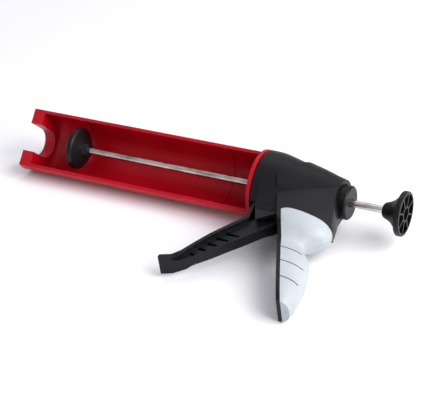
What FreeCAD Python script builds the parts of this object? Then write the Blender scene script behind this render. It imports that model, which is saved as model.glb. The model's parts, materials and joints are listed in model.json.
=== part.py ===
"""Caulking gun with an open half-barrel cradle, lying on its right side.

Every sub-part is built in the gun's own frame: X forward to the nozzle, Y to the
left, Z up and away from the handle, with the push rod along the X axis and the
cradle's rear ring at X = 0. One common placement then lays the gun down, with the
nozzle towards -X and the handle towards -Y.
"""
import FreeCAD, Part
import math
import os
import re
import Sketcher

DIMS = {
    # cradle
    "cradle_length": 240.0,
    "cradle_radius": 29.0,
    "cradle_wall": 2.6,
    "rim_offset": 9.4,
    "end_wall": 11.4,
    "notch_half": 13.3,
    "notch_depth": 10.5,
    "ring_radius": 32.0,
    "ring_width": 3.4,
    "rib_height": 0.8,
    "rib_width": 1.2,
    "rear_rib_at": 38.2,
    "front_rib_at": 187.4,
    # hub on which the cradle turns
    "hub_radius": 14.0,
    "hub_clearance": 0.06,
    "hub_flange": 20.0,
    "clip_radius": 16.5,
    "clip_groove": 12.4,
    "clip_width": 1.2,
    # collar
    "collar_radius": 28.4,
    "collar_front": 3.8,
    "collar_rear": 14.0,
    "collar_wall": 3.0,
    # rod, plunger and knob
    "rod_radius": 3.25,
    "rod_clearance": 0.05,
    "rod_rear": 129.0,
    "plunger_radius": 19.4,
    "plunger_rear": 186.0,
    "recess_radius": 9.5,
    "recess_floor": 3.0,
    "washer_thick": 1.4,
    "knob_radius": 19.4,
    "knob_face": 133.6,
    "knob_front": 114.0,
    "knob_hub": 6.3,
    "knob_bore": 5.4,
    # mechanism
    "plate_thick": 3.0,
    "plate_at": 35.9,
    "plate_half": 8.0,
    "lock_at": 66.0,
    "lock_thick": 2.4,
    "lock_tilt": 5.0,
    "pin_radius": 2.5,
    "roller_radius": 3.0,
    # release cap at the rear
    "cap_radius": 14.9,
    "cap_face": 84.6,
    "cap_nose_gap": 2.2,
}

# driving outlines of the handle and housing, in the gun's frame
RAKE = 0.43
FRONT_LINE_X = -18.0
STRIP = 3.5
PIVOT = (-34.0, -38.0)
ROLLER = (-42.0, -12.0)
OPENING_TILT = 39.5
REST_ROLL = 8.3
REST_PITCH = 0.7
HALF_GAP = 0.05
ROUNDNESS = 0.84
SPOKE_HALF = 0.7
SPOKE_TURN = 14.5
GROOVES = ((-85.2, -76.5), (-101.3, -84.5), (-119.3, -88.0))
GROOVE_WIDTH = 1.1
SLOTS = ((14.5, -108.3, 4.3), (10.2, -100.2, 6.2), (5.9, -92.0, 8.3), (2.7, -83.5, 11.6),
         (-2.8, -75.6, 12.0))

doc = FreeCAD.newDocument("caulking_gun")
sheet = doc.addObject("Spreadsheet::Sheet", "Dims")
for row, (alias, value) in enumerate(DIMS.items(), start=1):
    sheet.set("A%d" % row, alias)
    sheet.set("B%d" % row, str(value))
    sheet.setAlias("B%d" % row, alias)
doc.recompute()

NODES = {}
X_AXIS = FreeCAD.Vector(1, 0, 0)
Y_AXIS = FreeCAD.Vector(0, 1, 0)
Z_AXIS = FreeCAD.Vector(0, 0, 1)
ORIGIN = FreeCAD.Vector(0, 0, 0)


def dim(alias):
    """Value of a sheet cell."""
    return float(getattr(sheet, alias))


def bound(expression):
    """An expression whose words are cell aliases, as FreeCAD writes it."""
    return re.sub(r"[a-z_]+", lambda word: "Dims." + word.group(), str(expression))


def keep(name, obj):
    """Register an object as a finished sub-part."""
    obj.Label = name
    NODES[name] = obj
    return obj


def origin_plane(body, role):
    """One of a body's own origin planes."""
    return [feature for feature in body.Origin.OriginFeatures if feature.Role == role][0]


def pinned_outline(sketch, points):
    """Closed polygon whose corners are held by expressions on the sheet."""
    count = len(points)
    turn = 2 * math.pi / count
    start = [FreeCAD.Vector(10 * math.cos(turn * i), 10 * math.sin(turn * i), 0) for i in range(count)]
    for i in range(count):
        sketch.addGeometry(Part.LineSegment(start[i], start[(i + 1) % count]), False)
    for i in range(count):
        sketch.addConstraint(Sketcher.Constraint("Coincident", i, 2, (i + 1) % count, 1))
    for i, (across, along) in enumerate(points):
        for kind, expression, value in (("DistanceX", across, start[i].x), ("DistanceY", along, start[i].y)):
            index = sketch.addConstraint(Sketcher.Constraint(kind, -1, 1, i, 1, value))
            sketch.setExpression("Constraints[%d]" % index, bound(expression))


def turned(name, points):
    """A body turned about the rod's axis from (x, radius) corners."""
    body = doc.addObject("PartDesign::Body", name)
    sketch = body.newObject("Sketcher::SketchObject", name + "_profile")
    sketch.AttachmentSupport = (origin_plane(body, "XZ_Plane"), [""])
    sketch.MapMode = "FlatFace"
    pinned_outline(sketch, points)
    revolution = body.newObject("PartDesign::Revolution", name + "_turned")
    revolution.Profile = sketch
    revolution.ReferenceAxis = (sketch, ["H_Axis"])
    revolution.Angle = 360
    body.Tip = revolution
    return body


def cylinder(name, radius, length, start):
    """A cylinder along X, from start forward, its sizes bound to the sheet."""
    obj = doc.addObject("Part::Cylinder", name)
    obj.setExpression("Radius", bound(radius))
    obj.setExpression("Height", bound(length))
    obj.Placement = FreeCAD.Placement(ORIGIN, FreeCAD.Rotation(Y_AXIS, 90))
    obj.setExpression("Placement.Base.x", bound(start))
    return obj


def boolean(kind, name, base, tool):
    """A Part boolean of two objects."""
    obj = doc.addObject("Part::" + kind, name)
    obj.Base = base
    obj.Tool = tool
    return obj


def fused(name, parts):
    """Union of several objects."""
    obj = doc.addObject("Part::MultiFuse", name)
    obj.Shapes = parts
    obj.Refine = True
    return obj


def prism(points, low, high):
    """Solid with an XZ outline, from Y = low to Y = high."""
    corners = [FreeCAD.Vector(x, low, z) for x, z in points]
    face = Part.Face(Part.makePolygon(corners + corners[:1]))
    return face.extrude(FreeCAD.Vector(0, high - low, 0))


def smooth_prism(curved, straight, low, high):
    """Like prism, with a smooth curve through the first points and straight sides through the rest."""
    through = [FreeCAD.Vector(x, low, z) for x, z in curved]
    curve = Part.BSplineCurve()
    curve.interpolate(through)
    corners = [through[-1]] + [FreeCAD.Vector(x, low, z) for x, z in straight] + [through[0]]
    wire = Part.Wire([curve.toShape()] + [Part.makeLine(corners[i], corners[i + 1])
                                          for i in range(len(corners) - 1)])
    return Part.Face(wire).extrude(FreeCAD.Vector(0, high - low, 0))


def cross_cylinder(x, z, radius, low, high):
    """Cylinder along Y."""
    return Part.makeCylinder(radius, high - low, FreeCAD.Vector(x, low, z), Y_AXIS)


def x_cylinder(radius, rear, front):
    """Cylinder along the rod's axis."""
    return Part.makeCylinder(radius, front - rear, FreeCAD.Vector(rear, 0, 0), X_AXIS)


def box(low, high):
    """Box between two corners."""
    size = [high[i] - low[i] for i in range(3)]
    return Part.makeBox(size[0], size[1], size[2], FreeCAD.Vector(*low))


def feature(name, shape):
    """A sub-part whose shape comes from Part's own functions."""
    obj = doc.addObject("Part::Feature", name)
    obj.Shape = shape
    return keep(name, obj)


def front_line(z):
    """X of the handle's raked front edge at height z."""
    return FRONT_LINE_X + RAKE * z


# ---------------------------------------------------------------- cradle
def make_cradle():
    """Open trough with a notched end wall, two inner ribs and a turning ring at its rear."""
    outer = cylinder("cradle_outer", "cradle_radius", "cradle_length", 0)
    inner = cylinder("cradle_inner", "cradle_radius - cradle_wall", "cradle_length - end_wall", 0)
    hollow = boolean("Cut", "cradle_hollow", outer, inner)
    ribs = []
    for side in ("rear", "front"):
        disc = cylinder(side + "_rib_disc", "cradle_radius - cradle_wall / 2", "rib_width", side + "_rib_at")
        hole = cylinder(side + "_rib_hole", "cradle_radius - cradle_wall - rib_height", "rib_width",
                        side + "_rib_at")
        ribs.append(boolean("Cut", side + "_rib", disc, hole))
    trough = fused("cradle_trough", [hollow] + ribs)

    opening = doc.addObject("Part::Box", "cradle_opening")
    opening.setExpression("Length", bound("cradle_length + 2"))
    opening.setExpression("Width", bound("2 * ring_radius"))
    opening.setExpression("Height", bound("ring_radius"))
    opening.setExpression("Placement.Base.y", bound("-ring_radius"))
    opening.setExpression("Placement.Base.z", bound("rim_offset"))
    open_trough = boolean("Cut", "cradle_open", trough, opening)

    slot = doc.addObject("Part::Box", "notch_slot")
    slot.setExpression("Length", bound("end_wall + 2"))
    slot.setExpression("Width", bound("2 * notch_half"))
    slot.setExpression("Height", bound("ring_radius + notch_depth"))
    slot.setExpression("Placement.Base.x", bound("cradle_length - end_wall - 1"))
    slot.setExpression("Placement.Base.y", bound("-notch_half"))
    slot.setExpression("Placement.Base.z", bound("-notch_depth"))
    round_end = cylinder("notch_round", "notch_half", "end_wall + 2", "cradle_length - end_wall - 1")
    round_end.setExpression("Placement.Base.z", bound("-notch_depth"))
    notched = boolean("Cut", "cradle_notched", open_trough, fused("notch", [slot, round_end]))

    ring = cylinder("ring_disc", "ring_radius", "ring_width", "-ring_width")
    bore = cylinder("ring_bore", "hub_radius + hub_clearance", "ring_width + 2", "-ring_width - 1")
    ring_cut = boolean("Cut", "cradle_ring", ring, bore)
    return keep("cradle", fused("cradle_solid", [notched, ring_cut]))


# ---------------------------------------------------------------- turned pieces
def make_turned_parts():
    """Collar, hub, clip, bushing, rod, plunger, knob and release cap."""
    keep("front_collar", turned("front_collar", [
        ("-collar_front", "hub_radius + 0.3"),
        ("-collar_front", "collar_radius - 1"),
        ("-collar_front - 1", "collar_radius"),
        ("-collar_rear", "collar_radius"),
        ("-collar_rear", "collar_radius - collar_wall"),
        ("-collar_front - collar_wall", "collar_radius - collar_wall"),
        ("-collar_front - collar_wall", "hub_radius + 0.3")]))
    keep("front_hub", turned("front_hub", [
        ("-collar_front - collar_wall - 3", "rod_radius + rod_clearance"),
        ("-collar_front - collar_wall - 3", "hub_flange"),
        ("-collar_front - collar_wall", "hub_flange"),
        ("-collar_front - collar_wall", "hub_radius"),
        ("0.3", "hub_radius"),
        ("0.3", "clip_groove"),
        ("0.5 + clip_width", "clip_groove"),
        ("0.5 + clip_width", "hub_radius"),
        ("2.5 + clip_width", "hub_radius - 1"),
        ("2.5 + clip_width", "rod_radius + rod_clearance")]))
    keep("hub_clip", turned("hub_clip", [
        ("0.4", "clip_groove"),
        ("0.4", "clip_radius"),
        ("0.4 + clip_width", "clip_radius"),
        ("0.4 + clip_width", "clip_groove")]))
    keep("push_rod", turned("push_rod", [
        ("-rod_rear", "0"),
        ("-rod_rear", "rod_radius - 0.5"),
        ("-rod_rear + 0.5", "rod_radius"),
        ("plunger_rear - 8", "rod_radius"),
        ("plunger_rear - 8", "rod_radius - 0.75"),
        ("plunger_rear + 4", "rod_radius - 0.75"),
        ("plunger_rear + 4", "0")]))
    keep("plunger_disc", turned("plunger_disc", [
        ("plunger_rear - 10", "rod_radius - 0.75"),
        ("plunger_rear - 10", "6.2"),
        ("plunger_rear - 8", "6.8"),
        ("plunger_rear - 6", "7.4"),
        ("plunger_rear - 1.2", "plunger_radius - 1.2"),
        ("plunger_rear + 0.3", "plunger_radius"),
        ("plunger_rear + 3.6", "plunger_radius"),
        ("plunger_rear + 4.6", "plunger_radius - 1"),
        ("plunger_rear + 4.6", "recess_radius"),
        ("plunger_rear - recess_floor", "recess_radius"),
        ("plunger_rear - recess_floor", "rod_radius - 0.75")]))
    keep("plunger_washer", turned("plunger_washer", [
        ("plunger_rear - recess_floor", "rod_radius - 0.75"),
        ("plunger_rear - recess_floor", "8"),
        ("plunger_rear - recess_floor + washer_thick", "8"),
        ("plunger_rear - recess_floor + washer_thick", "rod_radius - 0.75")]))
    keep("rear_bushing", turned("rear_bushing", [
        ("-59", "rod_radius + rod_clearance"),
        ("-59", "9"),
        ("-52", "9"),
        ("-52", "rod_radius + rod_clearance")]))
    keep("release_cap", turned("release_cap", [
        ("-cap_face", "rod_radius + 0.4"),
        ("-cap_face", "cap_radius - 1.2"),
        ("-cap_face + 1.2", "cap_radius"),
        ("-cap_face + 10", "cap_radius"),
        ("-cap_face + 10", "7.4"),
        ("-lock_at - lock_thick - cap_nose_gap", "7.4"),
        ("-lock_at - lock_thick - cap_nose_gap", "rod_radius + 0.4")]))


def make_nut():
    """Hexagonal nut that clamps the plunger to the rod."""
    prism_nut = doc.addObject("Part::Prism", "nut_hexagon")
    prism_nut.Polygon = 6
    prism_nut.Circumradius = 5.6
    prism_nut.Height = 4.0
    prism_nut.Placement = FreeCAD.Placement(ORIGIN, FreeCAD.Rotation(Y_AXIS, 90))
    prism_nut.setExpression("Placement.Base.x", bound("plunger_rear - recess_floor + washer_thick"))
    bore = cylinder("nut_bore", "rod_radius - 0.75", "6", "plunger_rear - recess_floor")
    keep("plunger_nut", boolean("Cut", "nut_cut", prism_nut, bore))


def make_knob():
    """Pull knob: hub, flared neck and disc with a spoked rear face."""
    body = turned("pull_knob", [
        ("-rod_rear", "rod_radius"),
        ("-knob_front", "rod_radius"),
        ("-knob_front", "knob_hub - 0.8"),
        ("-knob_front - 0.8", "knob_hub"),
        ("-knob_front - 2.6", "knob_hub + 0.9"),
        ("-knob_front - 5.6", "knob_hub + 2"),
        ("-knob_front - 8.6", "knob_hub + 3.9"),
        ("-knob_front - 11.4", "knob_hub + 6.6"),
        ("-knob_face + 6.2", "knob_hub + 8.7"),
        ("-knob_face + 4.8", "knob_radius - 0.6"),
        ("-knob_face + 4", "knob_radius"),
        ("-knob_face + 0.6", "knob_radius"),
        ("-knob_face", "knob_radius - 0.6"),
        ("-knob_face", "knob_bore"),
        ("-knob_face + 3.4", "knob_bore"),
        ("-knob_face + 3.4", "0"),
        ("-rod_rear", "0")])
    doc.recompute()
    spokes = 8
    rim_inner = dim("knob_radius") - 2.4
    hub_outer = dim("knob_bore") + 1.7
    sketch = body.newObject("Sketcher::SketchObject", "knob_pocket_outline")
    sketch.AttachmentSupport = (origin_plane(body, "YZ_Plane"), [""])
    sketch.MapMode = "FlatFace"
    sketch.AttachmentOffset = FreeCAD.Placement(FreeCAD.Vector(0, 0, -dim("knob_face")),
                                                FreeCAD.Rotation(Z_AXIS, SPOKE_TURN))
    half_step = math.pi / spokes
    inner_half = half_step - SPOKE_HALF / hub_outer
    outer_half = half_step - SPOKE_HALF / rim_inner
    inner = Part.ArcOfCircle(Part.Circle(ORIGIN, Z_AXIS, hub_outer), -inner_half, inner_half)
    outer = Part.ArcOfCircle(Part.Circle(ORIGIN, Z_AXIS, rim_inner), -outer_half, outer_half)
    sketch.addGeometry(inner, False)
    sketch.addGeometry(outer, False)
    ends = [(inner.StartPoint, outer.StartPoint), (inner.EndPoint, outer.EndPoint)]
    for begin, finish in ends:
        sketch.addGeometry(Part.LineSegment(begin, finish), False)
    for line, end in ((2, 1), (3, 2)):
        sketch.addConstraint(Sketcher.Constraint("Coincident", line, 1, 0, end))
        sketch.addConstraint(Sketcher.Constraint("Coincident", line, 2, 1, end))
    pocket = body.newObject("PartDesign::Pocket", "knob_pocket")
    pocket.Profile = sketch
    pocket.Length = 3.4
    pocket.Reversed = True
    doc.recompute()
    pattern = body.newObject("PartDesign::PolarPattern", "knob_pockets")
    pattern.Originals = [pocket]
    pattern.Axis = (sketch, ["N_Axis"])
    pattern.Angle = 360
    pattern.Occurrences = spokes
    body.Tip = pattern
    keep("pull_knob", body)


# ---------------------------------------------------------------- mechanism
def coil(radius, wire, rear, front, turns):
    """Round-wire compression spring along the rod's axis."""
    pitch = (front - rear - 2 * wire) / turns
    helix = Part.makeHelix(pitch, pitch * turns, radius)
    profile = Part.Wire([Part.makeCircle(wire, FreeCAD.Vector(radius, 0, 0), Y_AXIS)])
    spring = Part.Wire(helix.Edges).makePipeShell([profile], True, True)
    spring.Placement = FreeCAD.Placement(FreeCAD.Vector(rear + wire, 0, 0), FreeCAD.Rotation(Y_AXIS, 90))
    return spring


def make_mechanism():
    """Drive plate, lock plate, springs, pins and roller inside the housing."""
    thick = dim("plate_thick")
    half = dim("plate_half")
    front = -dim("plate_at")
    rod_hole = x_cylinder(dim("rod_radius") + 0.06, -90, 0)
    drive = box((front - thick, -half, -16), (front, half, 11)).cut(rod_hole)
    feature("drive_plate", drive)
    feature("drive_spring", coil(6.2, 0.8, front + 0.2, -dim("collar_front") - dim("collar_wall") - 3, 5))

    lock_front = -dim("lock_at")
    lock = box((lock_front - dim("lock_thick"), -8.5, -14), (lock_front, 8.5, 12))
    lock_hole = x_cylinder(dim("rod_radius") + 0.35, -90, 0)
    foot = (lock_front - dim("lock_thick") / 2, -14)
    lock = lock.cut(lock_hole).fuse(cross_cylinder(foot[0], foot[1], dim("lock_thick") / 2, -8.5, 8.5))
    lock.rotate(FreeCAD.Vector(foot[0], 0, foot[1]), Y_AXIS, -dim("lock_tilt"))
    feature("lock_plate", lock)
    feature("lock_spring", coil(6.0, 0.7, -dim("lock_at") + 0.1, -59, 3))

    feature("trigger_pin", cross_cylinder(PIVOT[0], PIVOT[1], dim("pin_radius"), -10.6, 10.6))
    feature("trigger_roller", cross_cylinder(ROLLER[0], ROLLER[1], dim("roller_radius"), -5.5, 5.5))


def make_trigger():
    """Trigger lever: wide finger plate, slotted web, pivot boss and upper arm."""
    plate_front = [(-9.6, -34.5), (-10.4, -44), (-12, -53), (-0.4, -71), (7.6, -83.5), (14.7, -97.3),
                   (20.8, -110.5), (26.5, -118), (35.8, -121.4)]
    plate_back = [(35.8, -124.4), (26.5, -120.6), (17.8, -112), (11.9, -98.5), (4.9, -85), (-3, -72.6),
                  (-14.6, -54.8), (-13.2, -44), (-12.2, -34.5)]
    rear_edge = [(-29, -33), (-40.5, -42), (-37.2, -51), (-28.3, -61.9), (-17.2, -76.3), (-8.5, -86.8),
                 (0.8, -98.5), (8, -106.5), (14, -113.2), (19.6, -118.6)]
    plate = prism(plate_front + plate_back, -9.5, 9.5)
    web = prism(plate_back[1:7] + rear_edge, -4.8, 4.8)
    for x, z, reach in SLOTS:
        slot = [(x + 1.8, z + 2.2), (x - 0.6, z - 1.6), (x - reach, z - 0.8), (x - reach, z + 0.9)]
        web = web.cut(prism(slot, 1.2, 6)).cut(prism(slot, -6, -1.2))
    boss = cross_cylinder(PIVOT[0], PIVOT[1], 7.0, -6, 6)
    arm = prism([(-40.8, -36), (-46.4, -13), (-44, -8.6), (-41.4, -8.6), (-39.4, -13), (-39.4, -18),
                 (-28.5, -34)], -6, 6)
    body = plate.fuse([web, boss, arm]).removeSplitter()
    body = body.cut(cross_cylinder(PIVOT[0], PIVOT[1], dim("pin_radius") + 0.05, -14, 14))
    body = body.cut(cross_cylinder(ROLLER[0], ROLLER[1], dim("roller_radius") + 0.05, -5.55, 5.55))
    window = box((ROLLER[0], -5.55, ROLLER[1] - 3.05), (ROLLER[0] + 3, 5.55, ROLLER[1] + 6))
    feature("trigger", body.cut(window))


# ---------------------------------------------------------------- handle and housing
GRIP_SECTIONS = [
    # height, rear X, half width
    (-38.0, -83.8, 20.0),
    (-50.0, -86.8, 18.8),
    (-58.0, -83.8, 16.7),
    (-65.0, -76.2, 12.8),
    (-71.0, -71.6, 10.7),
    (-77.0, -74.8, 12.0),
    (-84.0, -81.1, 14.0),
    (-92.0, -84.4, 14.3),
    (-101.0, -87.5, 14.8),
    (-112.0, -89.9, 15.0),
    (-124.0, -90.8, 14.7),
    (-134.0, -91.0, 13.6),
    (-143.0, -90.1, 11.2),
]

BODY_SECTIONS = [
    # X, radius above the axis, crease half width, crease height, half width at the foot
    (-22.0, 31.6, 19.2, -27.6, 19.0),
    (-33.0, 29.8, 19.5, -23.0, 19.6),
    (-45.0, 27.0, 19.4, -17.9, 19.8),
    (-57.0, 24.4, 19.1, -12.8, 19.2),
    (-68.0, 21.3, 18.5, -8.1, 16.0),
    (-79.0, 18.6, 17.7, -3.4, 9.0),
    (-92.0, 15.0, 14.5, 2.0, 1.5),
]
FOOT_HEIGHT = -58.0

TAIL_SECTIONS = [
    # height, X of the fold between side and rear, half width there, X of the spine
    (34.0, -76.4, 24.0, -77.3),
    (8.0, -76.2, 22.0, -77.3),
    (-7.0, -76.0, 20.0, -77.3),
    (-14.0, -77.0, 16.6, -78.6),
    (-22.6, -79.2, 14.6, -80.9),
    (-31.0, -81.7, 12.0, -83.3),
    (-40.0, -84.0, 8.8, -85.3),
    (-46.0, -85.8, 5.5, -86.6),
    (-60.0, -88.0, 3.0, -88.2),
]


def between(sections, steps):
    """Sections with evenly spaced ones added on smooth curves through them."""
    finer = []
    last = len(sections) - 1
    for i in range(last):
        before, start = sections[max(i - 1, 0)], sections[i]
        end, after = sections[i + 1], sections[min(i + 2, last)]
        for step in range(steps):
            share = step / steps
            finer.append(tuple(
                start[k] + share * (end[k] - before[k]) / 2
                + share ** 2 * (before[k] - 2.5 * start[k] + 2 * end[k] - after[k] / 2)
                + share ** 3 * (1.5 * (start[k] - end[k]) + (after[k] - before[k]) / 2)
                for k in range(len(start))))
    return finer + [sections[last]]


def grip_loft(inset):
    """Handle with a flat raked front and a round back, shrunk by inset."""
    wires = []
    for height, rear, half in between(GRIP_SECTIONS, 3):
        front = front_line(height) - inset
        depth = front - rear - inset
        width = half - inset
        points = []
        for step in range(13):
            angle = math.pi * step / 12
            across = width * math.copysign(abs(math.cos(angle)) ** ROUNDNESS, math.cos(angle))
            back = depth * max(math.sin(angle), 0) ** ROUNDNESS
            points.append(FreeCAD.Vector(front - back, across, height))
        curve = Part.BSplineCurve()
        curve.interpolate(points)
        wires.append(Part.Wire([curve.toShape(), Part.makeLine(points[-1], points[0])]))
    return Part.makeLoft(wires, True, True)


def body_loft():
    """Housing body: round down to a crease on each side, then flat sides down to the handle."""
    wires = []
    for x, radius, half, crease, foot in between(BODY_SECTIONS, 2):
        side = [FreeCAD.Vector(x, half, crease), FreeCAD.Vector(x, foot, FOOT_HEIGHT)]
        mirror = [FreeCAD.Vector(x, -point.y, point.z) for point in side]
        top = Part.Arc(side[0], FreeCAD.Vector(x, 0, radius), mirror[0])
        edges = [top.toShape(), Part.makeLine(mirror[0], mirror[1]), Part.makeLine(mirror[1], side[1]),
                 Part.makeLine(side[1], side[0])]
        wires.append(Part.Wire(edges))
    return Part.makeLoft(wires, True, True)


def tail_loft():
    """Space ahead of the housing's rear face, which bulges to a spine between two folds."""
    wide = 45
    wires = []
    for height, fold, half, spine in between(TAIL_SECTIONS, 2):
        corners = [(0, wide), (fold, wide), (fold, half)]
        left = [FreeCAD.Vector(x, y, height) for x, y in corners]
        right = [FreeCAD.Vector(x, -y, height) for x, y in reversed(corners)]
        arc = Part.Arc(left[-1], FreeCAD.Vector(spine, 0, height), right[0])
        edges = [Part.makeLine(left[0], left[1]), Part.makeLine(left[1], left[2]), arc.toShape(),
                 Part.makeLine(right[0], right[1]), Part.makeLine(right[1], right[2]),
                 Part.makeLine(right[2], left[0])]
        wires.append(Part.Wire(edges))
    return Part.makeLoft(wires, True, True)


def front_cone():
    """Round front of the housing, from the cradle's ring back under the raised body."""
    curve = Part.BSplineCurve()
    curve.interpolate([FreeCAD.Vector(x, 0, z) for x, z in
                       [(-4.9, 32.0), (-11, 31.9), (-18, 31.3), (-26, 29.6), (-33, 27.9), (-39, 26.2),
                        (-46, 24.2), (-60, 20)]])
    corners = [FreeCAD.Vector(x, 0, z) for x, z in
               [(-60, 20), (-60, 0), (-3.9, 0), (-3.9, 31.2), (-4.9, 32.0)]]
    edges = [curve.toShape()] + [Part.makeLine(corners[i], corners[i + 1]) for i in range(4)]
    return Part.Face(Part.Wire(edges)).revolve(ORIGIN, X_AXIS, 360)


def skirt_flare():
    """Sides of the skirt, which leave the round front at a tangent and narrow down to the trigger."""
    wires = []
    for x, half, height in ((-12.5, 27.3, -15.8), (-26.0, 24.5, -14.5), (-37.0, 22.0, -12.0)):
        side = [FreeCAD.Vector(x, half, height), FreeCAD.Vector(x, 11.2, -44), FreeCAD.Vector(x, 11.2, -57)]
        mirror = [FreeCAD.Vector(x, -point.y, point.z) for point in reversed(side)]
        wires.append(Part.makePolygon(side + mirror + side[:1]))
    front = prism([(-12.5, -8), (-12.5, -31), (-14.3, -41), (-21.7, -56.9), (-26.2, -52.7),
                   (front_line(-43.9), -43.9), (front_line(-8), -8)], -40, 40)
    return Part.makeLoft(wires, True, True).common(front)


def make_housing_and_grips():
    """Two housing halves and the two grip shells that wrap the handle."""
    outline = [(front_line(-17.5), -17.5), (-24.6, -14.7), (-26.2, -11.6), (-29.6, -9.3), (-31.5, -6.6),
               (-33.7, -1.2), (-36, 3.7), (-38.4, 8.5), (-40.6, 13.9), (-43, 21), (-44.5, 34), (-79, 34),
               (-95, 10), (-95, -58), (front_line(-58), -58)]
    raised = body_loft().common(prism(outline, -40, 40)).common(tail_loft())
    skirt = prism([(-22, -15), (-22, -26), (-12.5, -31), (-14.3, -41), (-21.7, -56.9), (-26.2, -52.7),
                   (front_line(-43.9), -43.9), (-45, -30), (-40, -15)], -11.2, 11.2)

    handle = grip_loft(0)
    core = grip_loft(3.0).common(box((-130, -40, -140.2), (0, 40, 0)))
    strip = handle.common(prism([(front_line(-40), -40), (front_line(-150), -150),
                                 (front_line(-150) - STRIP, -150), (front_line(-40) - STRIP, -40)], -40, 40))
    grip_top = smooth_prism([(front_line(-52) - STRIP, -52), (front_line(-46.8) - STRIP + 0.3, -46.8),
                             (-44.6, -44.2), (-51, -43.0), (-58, -42.9), (-65.3, -43.3), (-72.3, -43.6),
                             (-79.3, -43.9), (-85.7, -44.7), (-96, -47)],
                            [(-120, -100), (-120, -160), (-70, -160)], -40, 40)
    region = prism([(front_line(-40) - STRIP, -40), (front_line(-150) - STRIP, -150), (-120, -150),
                    (-120, -40)], -40, 40)
    wrapped = region.common(grip_top)
    grip = handle.cut(core).common(wrapped)
    for height, end in GROOVES:
        low = height - GROOVE_WIDTH / 2
        grip = grip.cut(box((end, -40, low), (front_line(height), 40, low + GROOVE_WIDTH)))

    solid = raised.cut(wrapped).fuse([front_cone(), skirt, skirt_flare(), core, strip])
    bay = [x_cylinder(dim("collar_radius") + 0.05, -dim("collar_rear") - 0.1, 0), x_cylinder(22.0, -46, -13),
           box((-76.5, -10, -18), (-45, 10, 14.5)), x_cylinder(dim("cap_radius") + 0.4, -92, -72),
           prism([(-5, -60), (-5, -30), (-22, -5), (-48, -5), (-52, -30), (-50.5, -52), (-44.5, -62)],
                 -7.2, 7.2),
           prism([(-5, -64), (-5, -31.6), (-17, -31.6), (-30, -64)], -10, 10)]
    for space in bay:
        solid = solid.cut(space)
    seat = x_cylinder(14.0, -59.5, -51.5).cut(x_cylinder(9.0, -60, -51))
    solid = solid.fuse(seat.common(box((-60, -10.5, -15), (-51, 10.5, 15))))
    solid = solid.cut(cross_cylinder(PIVOT[0], PIVOT[1], dim("pin_radius"), -10.6, 10.6))
    screws = screw_places()
    for x, z in screws:
        solid = solid.cut(cross_cylinder(x, z, 1.6, -30, 8)).cut(cross_cylinder(x, z, 3.4, -30, -9))
        grip = grip.cut(cross_cylinder(x, z, 3.4, -30, -2))

    for name, low, high in (("left", HALF_GAP, 45), ("right", -45, -HALF_GAP)):
        half = box((-130, low, -160), (10, high, 60))
        feature("housing_" + name, solid.common(half).removeSplitter())
        feature("grip_" + name, grip.common(half).removeSplitter())

    pieces = []
    for x, z in screws:
        head = cross_cylinder(x, z, 3.2, -12, -9)
        head = head.cut(box((x - 2.4, -12.1, z - 0.4), (x + 2.4, -11, z + 0.4)))
        head = head.cut(box((x - 0.4, -12.1, z - 2.4), (x + 0.4, -11, z + 2.4)))
        pieces.append(head.fuse(cross_cylinder(x, z, 1.6, -9, 7.5)))
    feature("housing_screws", Part.makeCompound(pieces))


def screw_places():
    """XZ places of the screws that hold the halves together."""
    return [(-56, 18.5), (-70, -26), (-60, -56), (-72, -96), (-84, -130)]


make_cradle()
make_turned_parts()
make_nut()
make_knob()
make_mechanism()
make_trigger()
make_housing_and_grips()
doc.recompute()

# ---------------------------------------------------------------- lay the gun down
roll = FreeCAD.Rotation(X_AXIS, 90 - REST_ROLL)
half_turn = FreeCAD.Rotation(Z_AXIS, 180)
pitch = FreeCAD.Rotation(Y_AXIS, -REST_PITCH)
rest = pitch.multiply(half_turn).multiply(roll)
cradle_turn = FreeCAD.Rotation(X_AXIS, 270 - OPENING_TILT)

lying = FreeCAD.Placement(ORIGIN, rest)
for name, obj in NODES.items():
    own = FreeCAD.Placement(ORIGIN, cradle_turn) if name == "cradle" else obj.Placement
    obj.Placement = lying.multiply(own)
doc.recompute()
whole = Part.makeCompound([obj.Shape for obj in NODES.values()])
extent = whole.optimalBoundingBox()
set_down = FreeCAD.Vector(-extent.Center.x, -extent.Center.y, -extent.ZMin)
for obj in NODES.values():
    obj.Placement = FreeCAD.Placement(set_down, FreeCAD.Rotation()).multiply(obj.Placement)
doc.recompute()

# ---------------------------------------------------------------- check and write
for obj in doc.Objects:
    if "Invalid" in obj.State or "Error" in obj.State:
        raise RuntimeError("%s failed: %s" % (obj.Name, obj.State))
for name, obj in NODES.items():
    if obj.Shape.isNull() or not obj.Shape.isValid():
        raise RuntimeError("%s has no valid shape" % name)
os.makedirs("parts", exist_ok=True)
for name, obj in NODES.items():
    obj.Shape.exportStep("parts/%s.step" % name)
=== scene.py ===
"""Looks of the caulking gun: procedural materials, studio light and camera."""

import json
import math

import bpy
from mathutils import Matrix, Vector


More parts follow.
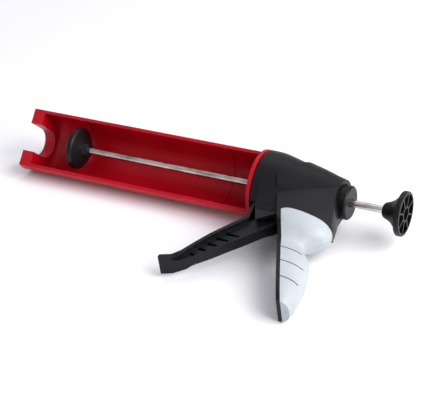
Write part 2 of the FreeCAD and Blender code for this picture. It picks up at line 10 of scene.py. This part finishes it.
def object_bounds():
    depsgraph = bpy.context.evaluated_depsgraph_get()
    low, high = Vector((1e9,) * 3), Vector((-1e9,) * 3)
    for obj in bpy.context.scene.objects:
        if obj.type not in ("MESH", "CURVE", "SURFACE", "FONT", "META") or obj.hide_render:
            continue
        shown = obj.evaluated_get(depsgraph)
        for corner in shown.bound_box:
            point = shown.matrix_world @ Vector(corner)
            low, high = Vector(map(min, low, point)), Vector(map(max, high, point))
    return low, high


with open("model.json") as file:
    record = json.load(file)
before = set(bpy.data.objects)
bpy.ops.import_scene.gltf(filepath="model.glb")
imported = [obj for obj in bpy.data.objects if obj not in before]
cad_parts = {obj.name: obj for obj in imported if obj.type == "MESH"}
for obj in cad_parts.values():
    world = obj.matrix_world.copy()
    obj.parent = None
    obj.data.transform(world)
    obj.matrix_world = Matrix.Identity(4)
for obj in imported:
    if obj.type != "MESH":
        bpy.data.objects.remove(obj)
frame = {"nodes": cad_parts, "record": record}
CAD_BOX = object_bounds()

# ---------------------------------------------------------------- node helpers
EDGE_RADIUS = 0.0004
EDGE_SAMPLES = 6
NOISE_DETAIL = 4.0
NOISE_ROUGHNESS = 0.55
NONE = (0.0, 0.0, 0.0)
FULL = (1.0, 1.0, 1.0)


def new_material(name):
    """A material with its nodes, its links and its shader."""
    material = bpy.data.materials.new(name)
    material.use_nodes = True
    tree = material.node_tree
    return material, tree.nodes, tree.links, tree.nodes["Principled BSDF"]


def noise(nodes, links, coordinates, scale, detail=NOISE_DETAIL, roughness=NOISE_ROUGHNESS):
    """Noise at the given coordinates."""
    texture = nodes.new("ShaderNodeTexNoise")
    texture.inputs["Scale"].default_value = scale
    texture.inputs["Detail"].default_value = detail
    texture.inputs["Roughness"].default_value = roughness
    links.new(coordinates, texture.inputs["Vector"])
    return texture.outputs["Fac"]


def ramp(nodes, links, value, stops):
    """Colour ramp with the given (position, colour) stops."""
    node = nodes.new("ShaderNodeValToRGB")
    elements = node.color_ramp.elements
    while len(elements) < len(stops):
        elements.new(0.5)
    for element, (position, colour) in zip(elements, stops):
        element.position = position
        element.color = (*colour, 1.0)
    links.new(value, node.inputs["Fac"])
    return node.outputs["Color"]


def remap(nodes, links, value, low, high):
    """Map 0..1 to low..high."""
    node = nodes.new("ShaderNodeMapRange")
    node.inputs["To Min"].default_value = low
    node.inputs["To Max"].default_value = high
    links.new(value, node.inputs["Value"])
    return node.outputs["Result"]


def bump(nodes, links, shader, height, strength, distance):
    """Bump from a height value, over edges that look slightly rounded."""
    rounded = nodes.new("ShaderNodeBevel")
    rounded.samples = EDGE_SAMPLES
    rounded.inputs["Radius"].default_value = EDGE_RADIUS
    node = nodes.new("ShaderNodeBump")
    links.new(rounded.outputs["Normal"], node.inputs["Normal"])
    node.inputs["Strength"].default_value = strength
    node.inputs["Distance"].default_value = distance
    links.new(height, node.inputs["Height"])
    links.new(node.outputs["Normal"], shader.inputs["Normal"])


def multiply(nodes, links, first, second):
    """Product of two colours or masks."""
    mix = nodes.new("ShaderNodeMix")
    mix.data_type = "RGBA"
    mix.blend_type = "MULTIPLY"
    mix.inputs["Factor"].default_value = 1.0
    links.new(first, mix.inputs["A"])
    links.new(second, mix.inputs["B"])
    return mix.outputs["Result"]


def stretched(nodes, links, place, scale, turn=0.0):
    """Coordinates drawn out along one direction."""
    mapping = nodes.new("ShaderNodeMapping")
    mapping.inputs["Scale"].default_value = scale
    mapping.inputs["Rotation"].default_value = (0.0, 0.0, turn)
    links.new(place, mapping.inputs["Vector"])
    return mapping.outputs["Vector"]


SCRATCH_STRETCH = (0.08, 1.0, 1.0)
SCRATCH_TURN = 0.35
SCRATCH_SCALE = 900.0
PATCH_SCALE = 24.0


def scuffs(nodes, links, place, colour, worn):
    """Patches of fine scratches along the gun, in a lighter tone."""
    drawn = stretched(nodes, links, place, SCRATCH_STRETCH, SCRATCH_TURN)
    scratch = noise(nodes, links, drawn, SCRATCH_SCALE, 2.0)
    line = ramp(nodes, links, scratch, [(0.62, NONE), (0.68, FULL)])
    cloud = noise(nodes, links, place, PATCH_SCALE, 3.0)
    patch = ramp(nodes, links, cloud, [(0.52, NONE), (0.66, FULL)])
    mix = nodes.new("ShaderNodeMix")
    mix.data_type = "RGBA"
    links.new(multiply(nodes, links, line, patch), mix.inputs["Factor"])
    links.new(colour, mix.inputs["A"])
    mix.inputs["B"].default_value = (*worn, 1.0)
    return mix.outputs["Result"]


CLOUD_SCALE = 28.0
SMEAR_SCALE = 60.0
GRAIN_STRENGTH = 0.5


def moulded_plastic(name, dark, light, roughness, grain, grain_depth, specular):
    """Moulded plastic: cloudy colour, light scuffs, uneven gloss and a fine spark-eroded grain."""
    material, nodes, links, shader = new_material(name)
    place = nodes.new("ShaderNodeTexCoord").outputs["Object"]
    cloud = noise(nodes, links, place, CLOUD_SCALE)
    base = ramp(nodes, links, cloud, [(0.35, dark), (0.65, light)])
    worn = tuple(0.85 * channel + 0.02 for channel in light)
    links.new(scuffs(nodes, links, place, base, worn), shader.inputs["Base Color"])
    smear = noise(nodes, links, place, SMEAR_SCALE, 3.0)
    gloss = remap(nodes, links, smear, roughness - 0.05, roughness + 0.06)
    links.new(gloss, shader.inputs["Roughness"])
    shader.inputs["Specular IOR Level"].default_value = specular
    texture = noise(nodes, links, place, grain, 2.0, 0.6)
    bump(nodes, links, shader, texture, GRAIN_STRENGTH, grain_depth)
    return material


STREAK_SCALE = 420.0
STAIN_SCALE = 70.0
STAIN_TONE = (0.62, 0.52, 0.44)
STREAK_STRENGTH = 0.25
STREAK_DEPTH = 0.00005


def steel(name, tone, roughness, scale):
    """Drawn steel: streaks along one direction and brownish stains."""
    material, nodes, links, shader = new_material(name)
    shader.inputs["Metallic"].default_value = 1.0
    place = nodes.new("ShaderNodeTexCoord").outputs["Object"]
    drawn = stretched(nodes, links, place, scale)
    streak = noise(nodes, links, drawn, STREAK_SCALE, 6.0, 0.7)
    stain = noise(nodes, links, place, STAIN_SCALE)
    dark = tuple(0.55 * channel for channel in tone)
    streaked = ramp(nodes, links, streak, [(0.3, dark), (0.62, tone)])
    stained = ramp(nodes, links, stain, [(0.38, STAIN_TONE), (0.6, FULL)])
    links.new(multiply(nodes, links, streaked, stained), shader.inputs["Base Color"])
    gloss = remap(nodes, links, streak, roughness - 0.06, roughness + 0.12)
    links.new(gloss, shader.inputs["Roughness"])
    bump(nodes, links, shader, streak, STREAK_STRENGTH, STREAK_DEPTH)
    return material


SLOT_MATERIALS = {
    "red_plastic": moulded_plastic(
        "red_plastic", dark=(0.39, 0.001, 0.008), light=(0.48, 0.002, 0.012), roughness=0.34,
        grain=1400.0, grain_depth=0.00003, specular=0.25),
    "black_plastic": moulded_plastic(
        "black_plastic", dark=(0.0025, 0.0022, 0.003), light=(0.005, 0.0046, 0.006), roughness=0.42,
        grain=1600.0, grain_depth=0.00006, specular=0.25),
    "white_grip": moulded_plastic(
        "white_grip", dark=(0.41, 0.445, 0.465), light=(0.47, 0.505, 0.525), roughness=0.40,
        grain=1200.0, grain_depth=0.00004, specular=0.4),
    "steel": steel("rod_steel", tone=(0.76, 0.71, 0.66), roughness=0.20, scale=(0.06, 1.0, 1.0)),
    "zinc": steel("zinc_steel", tone=(0.66, 0.67, 0.70), roughness=0.34, scale=(1.0, 1.0, 1.0)),
}


def dress_nodes():
    """Give every CAD node the material of its record slot."""
    for part in frame["record"]["subparts"]:
        materials = frame["nodes"][part["node"]].data.materials
        materials.clear()
        materials.append(SLOT_MATERIALS[part["material_slot"]])


# ---------------------------------------------------------------- stage, light, camera
CENTRE = (Vector(CAD_BOX[0]) + Vector(CAD_BOX[1])) / 2
FLOOR_HALF = 6.0
FLOOR_SCALE = 9.0
FLOOR_TONES = [(0.3, (0.93, 0.93, 0.94)), (0.7, (0.96, 0.96, 0.965))]


def make_floor():
    """Plain pale floor at Z = 0."""
    mesh = bpy.data.meshes.new("floor")
    half = FLOOR_HALF
    corners = [(-half, -half, 0.0), (half, -half, 0.0), (half, half, 0.0), (-half, half, 0.0)]
    mesh.from_pydata(corners, [], [(0, 1, 2, 3)])
    floor = bpy.data.objects.new("floor", mesh)
    bpy.context.scene.collection.objects.link(floor)
    material, nodes, links, shader = new_material("floor_paper")
    place = nodes.new("ShaderNodeTexCoord").outputs["Object"]
    mottled = noise(nodes, links, place, FLOOR_SCALE, 3.0)
    links.new(ramp(nodes, links, mottled, FLOOR_TONES), shader.inputs["Base Color"])
    shader.inputs["Roughness"].default_value = 0.75
    shader.inputs["Specular IOR Level"].default_value = 0.15
    mesh.materials.append(material)


def soft_box(name, offset, size, power):
    """White area light aimed at the gun's centre."""
    light = bpy.data.lights.new(name, "AREA")
    light.shape = "RECTANGLE"
    light.size, light.size_y = size
    light.energy = power
    lamp = bpy.data.objects.new(name, light)
    lamp.location = CENTRE + Vector(offset)
    lamp.rotation_euler = (-Vector(offset)).to_track_quat("-Z", "Y").to_euler()
    bpy.context.scene.collection.objects.link(lamp)


KEY_OFFSET, KEY_SIZE, KEY_POWER = (1.25, -0.15, 1.0), (1.3, 1.1), 29.0
TOP_OFFSET, TOP_SIZE, TOP_POWER = (0.1, 0.9, 1.5), (1.8, 1.2), 6.0
SURROUND_COLOUR = (0.93, 0.92, 1.0, 1.0)
SURROUND_STRENGTH = 0.58


def make_lights():
    """Soft key low on the right, weak overhead fill and an even surround."""
    soft_box("key", KEY_OFFSET, KEY_SIZE, KEY_POWER)
    soft_box("top", TOP_OFFSET, TOP_SIZE, TOP_POWER)
    world = bpy.data.worlds.new("studio")
    bpy.context.scene.world = world
    world.use_nodes = True
    background = world.node_tree.nodes["Background"]
    background.inputs["Color"].default_value = SURROUND_COLOUR
    background.inputs["Strength"].default_value = SURROUND_STRENGTH


CAMERA_AZIMUTH = math.radians(28.512)
CAMERA_ELEVATION = math.radians(30.622)
CAMERA_ROLL = math.radians(-2.971)
CAMERA_DISTANCE = 1.2
CAMERA_TARGET = Vector((0.0232, 0.02017, 0.02937))
LENS = 117.43
SENSOR_WIDTH = 36.0


def make_camera():
    """Long lens looking down at the gun from behind its butt, slightly rolled."""
    level = math.cos(CAMERA_ELEVATION)
    towards = Vector((math.sin(CAMERA_AZIMUTH) * level, -math.cos(CAMERA_AZIMUTH) * level,
                      math.sin(CAMERA_ELEVATION)))
    data = bpy.data.cameras.new("camera")
    data.sensor_width = SENSOR_WIDTH
    data.lens = LENS
    camera = bpy.data.objects.new("camera", data)
    facing = (-towards).to_track_quat("-Z", "Y").to_matrix()
    turned = facing @ Matrix.Rotation(CAMERA_ROLL, 3, "Z")
    place = Matrix.Translation(CAMERA_TARGET + towards * CAMERA_DISTANCE)
    camera.matrix_world = place @ turned.to_4x4()
    bpy.context.scene.collection.objects.link(camera)
    bpy.context.scene.camera = camera


dress_nodes()
bpy.context.scene.view_settings.view_transform = "Standard"
make_floor()
make_lights()
make_camera()
